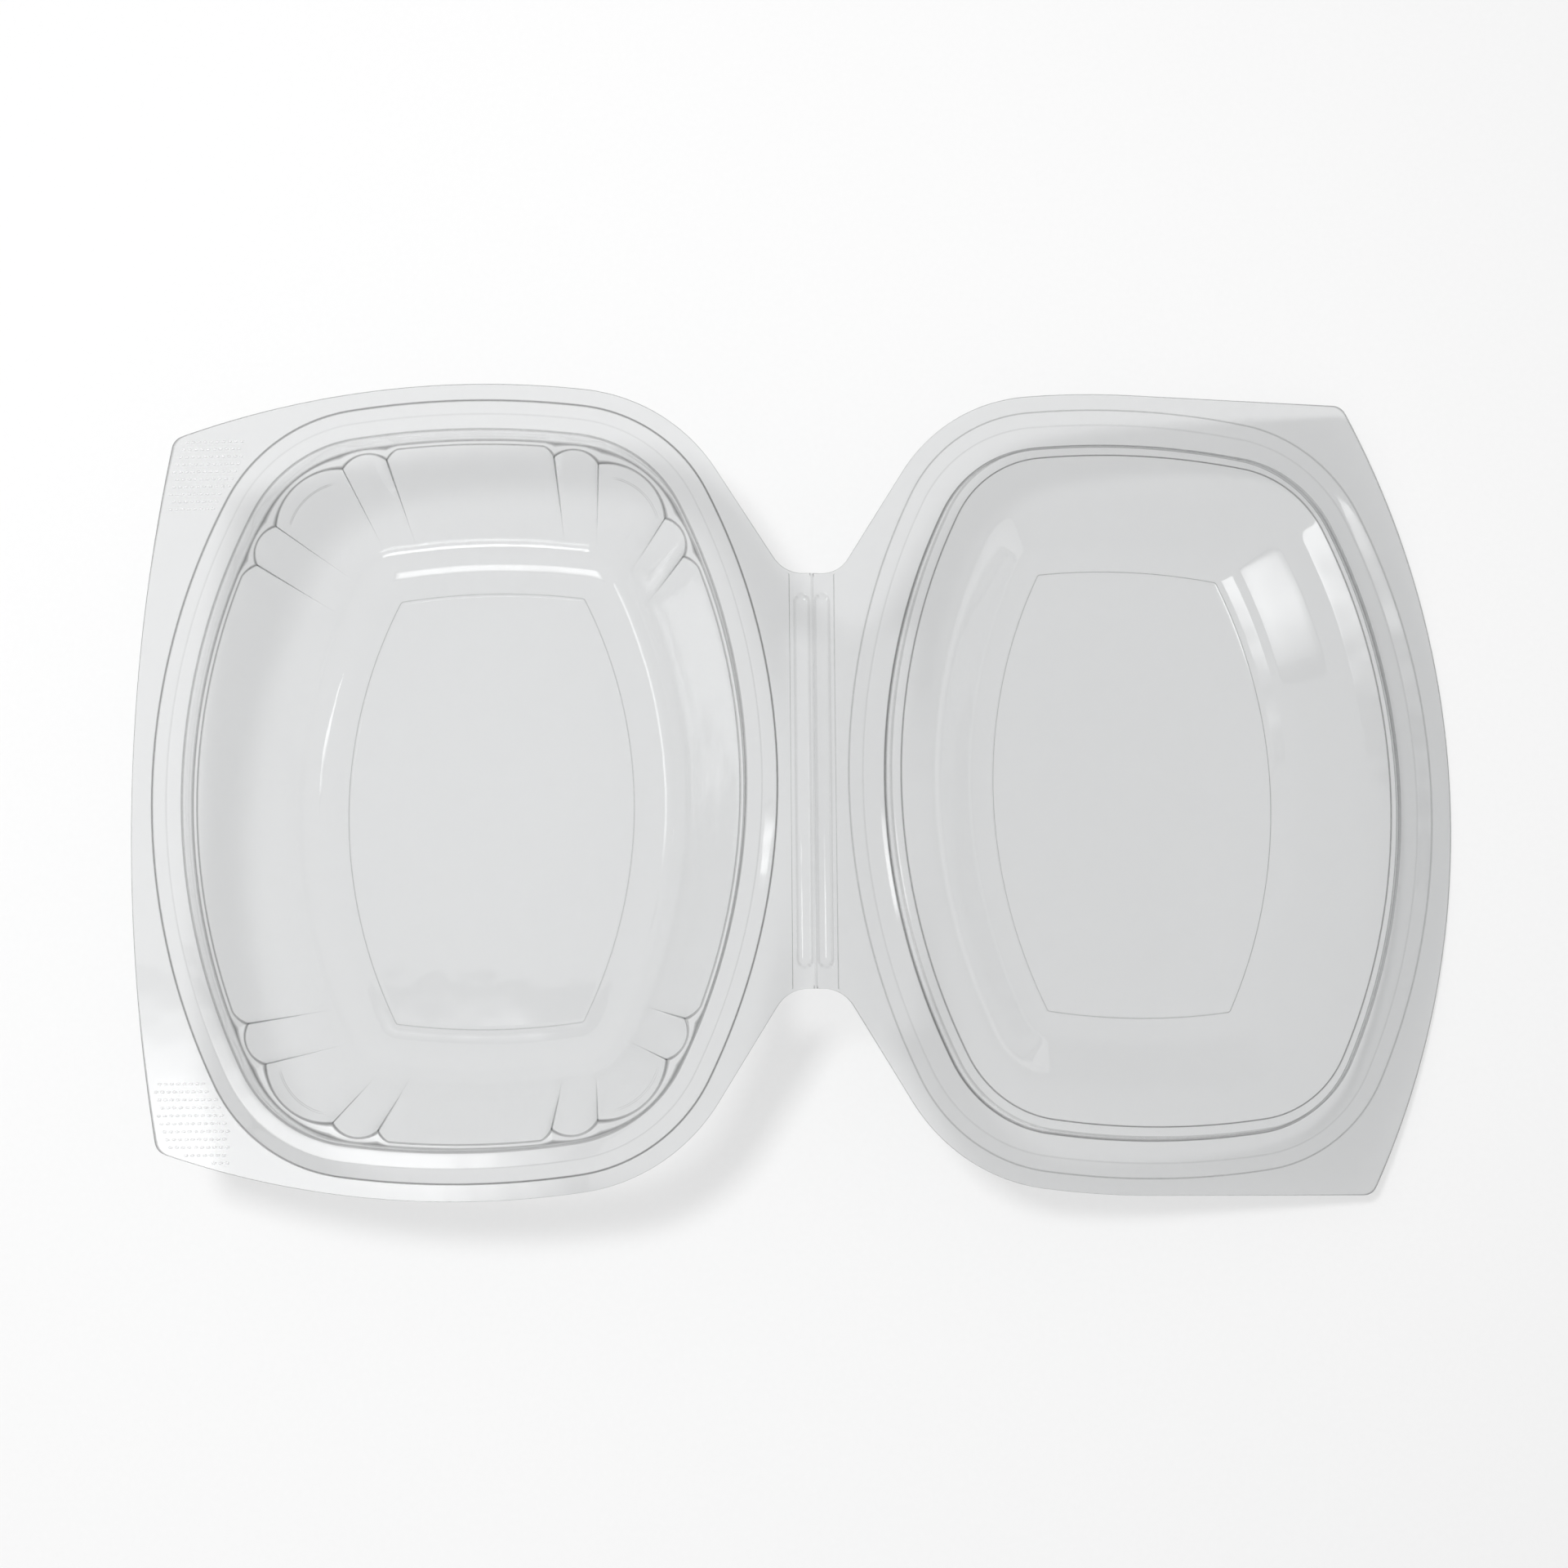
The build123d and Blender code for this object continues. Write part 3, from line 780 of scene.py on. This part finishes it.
def dash_places(low_y, high_y):
    """Centres of the dashes that stand clear of the rim and of the cut edge. Every second row is
    moved by half a pitch."""
    columns = np.arange(dash_first_x, dash_last_x, dash_pitch_x)
    x, y = np.meshgrid(columns, np.arange(low_y, high_y, dash_pitch_y))
    x = x + 0.5 * dash_pitch_x * (np.arange(len(y)) % 2)[:, None]
    x, y = x.ravel(), y.ravel()
    from_centre = np.hypot(np.abs(x) - corner_centre[0], np.abs(y) - corner_centre[1])
    from_end = end_edge(x) - np.abs(y)
    from_front = front_edge(tray_front, tray_front_r, y) + x
    clear = (from_centre > corner_r + rim_margin) & (from_end > end_margin)
    clear &= from_front > front_margin
    at_tab = (from_end < tab_r) & (from_front < tab_r)
    clear &= np.hypot(from_end - tab_r, from_front - tab_r) * at_tab < tab_r - rim_margin
    return np.stack([x, y], -1)[clear]


def make_dashes(places):
    """Low domes: centre + half size * cos(v) * (cos u, sin u), height * sin(v) above the flange,
    with a flat underside sunk a little into it."""
    sides = 12
    u = np.linspace(0, 2 * np.pi, sides, endpoint=False)
    v = np.linspace(0, np.pi / 2, 4)[:-1]
    ring = np.stack([np.cos(u), np.sin(u)], -1) * dash_half
    rings = np.cos(v)[:, None, None] * ring
    heights = np.broadcast_to((dash_height * np.sin(v))[:, None], rings.shape[:2])
    dome = np.dstack([rings, heights])
    foot = np.concatenate([ring, np.full((sides, 1), -dash_sunk)], -1)
    single = np.concatenate([foot, dome.reshape(-1, 3), [[0, 0, dash_height]]])
    rows = np.arange(len(single) - 1).reshape(-1, sides)
    quads, fan = ring_quads(rows), ring_fan(rows[-1], len(single) - 1)
    centres = np.concatenate([places, np.full((len(places), 1), rim_z)], -1)
    points = centres[:, None] + single[None]
    start = np.arange(len(places)) * len(single)
    faces = (start[:, None, None] + quads).reshape(-1, 4).tolist()
    faces += (start[:, None, None] + fan).reshape(-1, 3).tolist()
    faces += (start[:, None] + rows[0][::-1]).tolist()
    mesh = bpy.data.meshes.new("grip_dashes")
    mesh.from_pydata((points.reshape(-1, 3) * MM).tolist(), [], faces)
    mesh.shade_smooth()
    return put("grip_dashes", mesh)


grip_places = np.concatenate([dash_places(66.5, 84.0), dash_places(-88.0, -66.5)])
grip_dashes = make_dashes(grip_places)
print("grip dashes:", len(grip_places))


# %% [markdown]
# ## Finishes
# Clear sheet hardly has a colour: it shows what is behind it, a little greyer, and mirrors lamps
# on its two skins. A small class makes the node maths readable, so that each finish is a few lines.

# %% Node maths in plain operators
class Socket:
    """An output socket that can be added, multiplied and so on, through Math nodes."""

    def __init__(self, finish, socket):
        self.finish, self.socket = finish, socket

    def math(self, operation, first, second):
        return self.finish.node("ShaderNodeMath", {"operation": operation}, {0: first, 1: second})

    def __add__(self, other):
        return self.math("ADD", self, other)

    def __radd__(self, other):
        return self.math("ADD", other, self)

    def __rsub__(self, other):
        return self.math("SUBTRACT", other, self)

    def __mul__(self, other):
        return self.math("MULTIPLY", self, other)

    def __pow__(self, other):
        return self.math("POWER", self, other)


class Finish:
    """A material, or the world, as a tree that nodes are added to."""

    def __init__(self, owner):
        owner.use_nodes = True
        self.owner, self.tree = owner, owner.node_tree
        self.tree.nodes.clear()

    def node(self, kind, settings=None, inputs=None, output=0):
        """Adds one node: settings first, then each input as a value or a link."""
        made = self.tree.nodes.new(kind)
        for name, value in (settings or {}).items():
            setattr(made, name, value)
        for name, value in (inputs or {}).items():
            if isinstance(value, Socket):
                self.tree.links.new(value.socket, made.inputs[name])
            else:
                made.inputs[name].default_value = value
        return Socket(self, made.outputs[output]) if len(made.outputs) else made


def grey(level):
    return (level, level, level, 1.0)


# %% [markdown]
# ## The clear sheet
# Four things make the film: how much light a skin lets through, a mirror on top that grows towards
# grazing angles, hair-thin darker lines of painted shade where it bends tightly, and slow waves left
# by the forming, which bend the mirror. The rim lets less light through to a lamp than it does to the
# eye, a painted shadow that makes it cast a darker drop shadow, so it has a finish of its own.

# %% Make the film's finish
painted_line_shade, skin_tone = 0.3, 0.97
edge_mirror, edge_dark, scuff_scale, scuff_depth = 0.45, 0.15, 900.0, 0.04


def film(name, clear, rough, wave_scale, wave_depth, shade, flat_mirror=0.04, mirror=1.0):
    """Clear sheet. clear is what one skin lets through, shade what it lets through to a lamp, and
    flat_mirror the share of its skin met when looked at squarely. mirror 0 makes that skin white, a
    painted sheen."""
    finish = Finish(bpy.data.materials.new(name))
    place = finish.node("ShaderNodeTexCoord", output="Object")
    slow = {"Vector": place, "Scale": wave_scale, "Detail": 2.0, "Roughness": 0.45}
    waves = finish.node("ShaderNodeTexNoise", None, slow)
    fine = {"Vector": place, "Scale": scuff_scale, "Detail": 3.0, "Roughness": 0.6}
    scuffs = finish.node("ShaderNodeTexNoise", None, fine)
    bumped = finish.node(
        "ShaderNodeBump", None, {"Strength": 0.5, "Distance": wave_depth * MM, "Height": waves}
    )
    weight = {"Blend": 0.5, "Normal": bumped}
    facing = finish.node("ShaderNodeLayerWeight", None, weight, "Facing")
    skin_share = flat_mirror + (facing**3.0) * edge_mirror
    line = finish.node("ShaderNodeAttribute", {"attribute_name": "bend_line"}, None, "Fac")
    tint = (clear * 0.996, clear, clear * 1.002, 1.0)
    through = finish.node("ShaderNodeBsdfTransparent", None, {"Color": tint})
    # Painted shade: along the bend lines a dark see-through layer stands in for light that tight bends
    # turn away; towards grazing angles the sheet darkens as well.
    dark = finish.node("ShaderNodeBsdfTransparent", None, {"Color": grey(painted_line_shade)})
    darker = line + (facing**4.0) * edge_dark
    darker = finish.node("ShaderNodeMath", {"operation": "MINIMUM"}, {0: darker, 1: 1.0})
    body = finish.node("ShaderNodeMixShader", None, {0: darker, 1: through, 2: dark})
    roughness = rough + scuffs * scuff_depth
    looks = {"Base Color": grey(skin_tone), "Metallic": mirror, "Roughness": roughness, "Normal": bumped}
    skin = finish.node("ShaderNodeBsdfPrincipled", None, looks)
    surface = finish.node("ShaderNodeMixShader", None, {0: skin_share, 1: body, 2: skin})
    # To a lamp the sheet is see-through at shade; the rim finishes' lower shade is a painted shadow.
    lamp = finish.node("ShaderNodeLightPath", output="Is Shadow Ray")
    shaded = finish.node("ShaderNodeBsdfTransparent", None, {"Color": grey(shade)})
    seen = finish.node("ShaderNodeMixShader", None, {0: lamp, 1: surface, 2: shaded})
    finish.node("ShaderNodeOutputMaterial", None, {"Surface": seen})
    return finish.owner


tray_looks = {"clear": 0.935, "rough": 0.02, "wave_scale": 45.0, "wave_depth": 0.5}
lid_looks = {"clear": 0.915, "rough": 0.02, "wave_scale": 35.0, "wave_depth": 0.4}
grip_looks = {"clear": 0.97, "rough": 0.5, "wave_scale": 45.0, "wave_depth": 0.2}
tray_film = film("tray_film", **tray_looks, shade=0.93)
# The rim finishes are shaded copies of the film: their lower shade paints a darker drop shadow.
tray_rim_shadow_film = film("tray_rim_shadow_film", **tray_looks, shade=0.79)
lid_film = film("lid_film", **lid_looks, shade=0.92)
lid_rim_shadow_film = film("lid_rim_shadow_film", **lid_looks, shade=0.82)
# The dashes' white skin is a painted sheen that stands in for the glints on their domes.
grip_sheen_film = film("grip_sheen_film", **grip_looks, shade=0.95, flat_mirror=0.4, mirror=0.0)
finishes = [
    (tray_sheet, [tray_film, tray_rim_shadow_film]),
    (lid_sheet, [lid_film, lid_rim_shadow_film]),
    (hinge_fold, [tray_film]),
    (grip_dashes, [grip_sheen_film]),
]
for piece, films in finishes:
    for finish in films:
        piece.data.materials.append(finish)
    print(piece.name, "wears", [finish.name for finish in films])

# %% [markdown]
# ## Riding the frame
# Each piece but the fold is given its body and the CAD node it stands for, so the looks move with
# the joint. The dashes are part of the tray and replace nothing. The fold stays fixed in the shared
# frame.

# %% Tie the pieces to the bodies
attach(tray_sheet, "tray")
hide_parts("tray")
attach(lid_sheet, "lid")
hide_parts("lid")
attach(grip_dashes, "tray")
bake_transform(hinge_fold)

# %% [markdown]
# ## Table, lamps and eye
# A pale table that is nearly white, one broad key lamp high on the upper left, and cards of light
# that are there to be mirrored: clear sheet is seen by its reflections. A near card lies in the
# tray's flange, a window gives bright strips on the lid's shoulder, and two long cards draw
# highlights along the rounds of the bowl.

# %% The table
def oblong(name, half_w, half_h, face):
    """An object with one four-cornered face in its own x and y. face orders the corners."""
    mesh = bpy.data.meshes.new(name)
    signs = [(-1, -1), (1, -1), (1, 1), (-1, 1)]
    mesh.from_pydata([(x * half_w, y * half_h, 0) for x, y in signs], [], [face])
    return put(name, mesh)


def make_table():
    reach, below_pack = 3.0, 0.0002
    table = oblong("table", reach, reach, (0, 1, 2, 3))
    table.location.z = -below_pack
    finish = Finish(bpy.data.materials.new("table_paper"))
    place = finish.node("ShaderNodeTexCoord", output="Object")
    grain = {"Vector": place, "Scale": 700.0, "Detail": 2.0}
    fibre = finish.node("ShaderNodeTexNoise", None, grain)
    tones = {0: fibre, 6: grey(0.9), 7: grey(0.92)}
    level = finish.node("ShaderNodeMix", {"data_type": "RGBA"}, tones, 2)
    looks = {"Base Color": level, "Roughness": 0.9, "Specular IOR Level": 0.1}
    paper = finish.node("ShaderNodeBsdfPrincipled", None, looks)
    finish.node("ShaderNodeOutputMaterial", None, {"Surface": paper})
    table.data.materials.append(finish.owner)
    print("table reaches", reach, "m each way")


make_table()

# %% The world: brighter above than round the horizon
world = Finish(bpy.data.worlds.new("studio"))
bpy.context.scene.world = world.owner
sky = world.node("ShaderNodeTexCoord", output="Generated")
height = world.node("ShaderNodeSeparateXYZ", None, {"Vector": sky}, "Z")
low_height, high_height, low_glow, high_glow = 0.05, 0.9, 0.38, 0.56
rise = {"Value": height, 1: low_height, 2: high_height, 3: low_glow, 4: high_glow}
glow = world.node("ShaderNodeMapRange", None, rise)
background = world.node("ShaderNodeBackground", None, {"Color": grey(1.0), "Strength": glow})
world.node("ShaderNodeOutputWorld", None, {"Surface": background})
print("world glows from", low_glow, "to", high_glow)


# %% Lamps
def aim(made, spot, target):
    """Puts an object at spot with its -z axis towards target."""
    made.location = spot
    made.rotation_euler = (Vector(target) - Vector(spot)).to_track_quat("-Z", "Y").to_euler()


def lamp(name, spot, target, size, power):
    """A rectangular lamp at spot that faces target; size is its width and height in metres."""
    data = bpy.data.lights.new(name, "AREA")
    data.shape = "RECTANGLE"
    data.size, data.size_y, data.energy = *size, power
    made = put(name, data)
    aim(made, spot, target)
    return made


def light_card(name, spot, target, size, level, soft):
    """A glowing card. soft holds the widths over which it dims at -x, +x, -y and +y, in metres:
    level times a smooth step from 0 to 1 inwards from each edge."""
    half_w, half_h = size[0] / 2, size[1] / 2
    card = oblong(name, half_w, half_h, (0, 3, 2, 1))
    aim(card, spot, target)
    finish = Finish(bpy.data.materials.new(name))
    place = finish.node("ShaderNodeTexCoord", output="Object")
    glow = level
    for axis, half, low, high in (("X", half_w, *soft[:2]), ("Y", half_h, *soft[2:])):
        along = finish.node("ShaderNodeSeparateXYZ", None, {"Vector": place}, axis)
        for inward, width in ((along + half, low), (half - along, high)):
            step = {"Value": inward, 1: 0.0, 2: width, 3: 0.0, 4: 1.0}
            glow = finish.node("ShaderNodeMapRange", {"interpolation_type": "SMOOTHSTEP"}, step) * glow
    light = finish.node("ShaderNodeEmission", None, {"Color": grey(1.0), "Strength": glow})
    finish.node("ShaderNodeOutputMaterial", None, {"Surface": light})
    card.data.materials.append(finish.owner)
    card.visible_diffuse = card.visible_shadow = False


# %% The key lamp, and the card that the tray's flange mirrors
pack_middle = Vector((0.078, 0.0, 0.02))
eye = Vector((0.10345, -0.09388, 0.66574))
key_direction, key_distance = Vector((-0.20, 0.14, 0.97)).normalized(), 1.3
key = lamp(
    "key",
    spot=pack_middle + key_direction * key_distance,
    target=pack_middle,
    size=(0.21, 0.21),
    power=10.0,
)
key.visible_glossy = False
light_card(
    "side_card",
    spot=(-0.132, -0.100, 0.40),
    target=(-0.132, -0.101, 0.0),
    size=(0.24, 0.18),
    level=4.0,
    soft=(0.06, 0.08, 0.06, 0.06),
)
print("key lamp at", [round(v, 3) for v in key.location])


# %% The window that the lid's shoulder mirrors, and two long cards for the bowl's rounds
def mirrored(point, normal):
    """Where a lamp must stand, seen from point, for that surface to show it to the eye."""
    view = (eye - point).normalized()
    return 2 * view.dot(normal) * normal - view


shoulder_tilt = np.arctan2(plug_top - shoulder_z, shoulder_inset - plug_edge_inset)
shoulder_turn = np.radians(20)
outward = Vector(lid_out * np.cos(shoulder_turn) + np.array([0, np.sin(shoulder_turn), 0]))
shoulder_normal = Vector(lid_up) * np.cos(shoulder_tilt) - outward * np.sin(shoulder_tilt)
strip_point = Vector((0.206, 0.052, 0.010))  # where the middle one of the bright strips lies
window_distance, window_y = 1.5, 0.14
window_spot = strip_point + mirrored(strip_point, shoulder_normal) * window_distance
window_spot.y = window_y
light_card(
    "window",
    spot=window_spot,
    target=strip_point,
    size=(0.12, 0.24),
    level=4.2,
    soft=(0.001, 0.08, 0.002, 0.002),
)
tray_middle = (0.0, 0.0, 0.02)
light_card(
    "south_card",
    spot=(-0.05, -1.2, 0.2),
    target=tray_middle,
    size=(0.9, 0.16),
    level=8.0,
    soft=(0.1, 0.1, 0.02, 0.02),
)
light_card(
    "west_card",
    spot=(-0.95, 0.05, 0.75),
    target=tray_middle,
    size=(0.5, 0.14),
    level=3.5,
    soft=(0.15, 0.15, 0.03, 0.03),
)
print("window at", [round(v, 3) for v in window_spot])

# %% The eye
camera_data = bpy.data.cameras.new("eye")
camera_data.lens, camera_data.sensor_width = 63.0, 36.0
camera = put("eye", camera_data)
camera.location = eye
camera.rotation_euler = Euler((0.1473, 0.0483, -0.0089), "XYZ")
bpy.context.scene.camera = camera
bpy.context.scene.view_settings.view_transform = "Standard"
print("eye at", [round(v, 3) for v in eye], "lens", camera_data.lens, "mm")
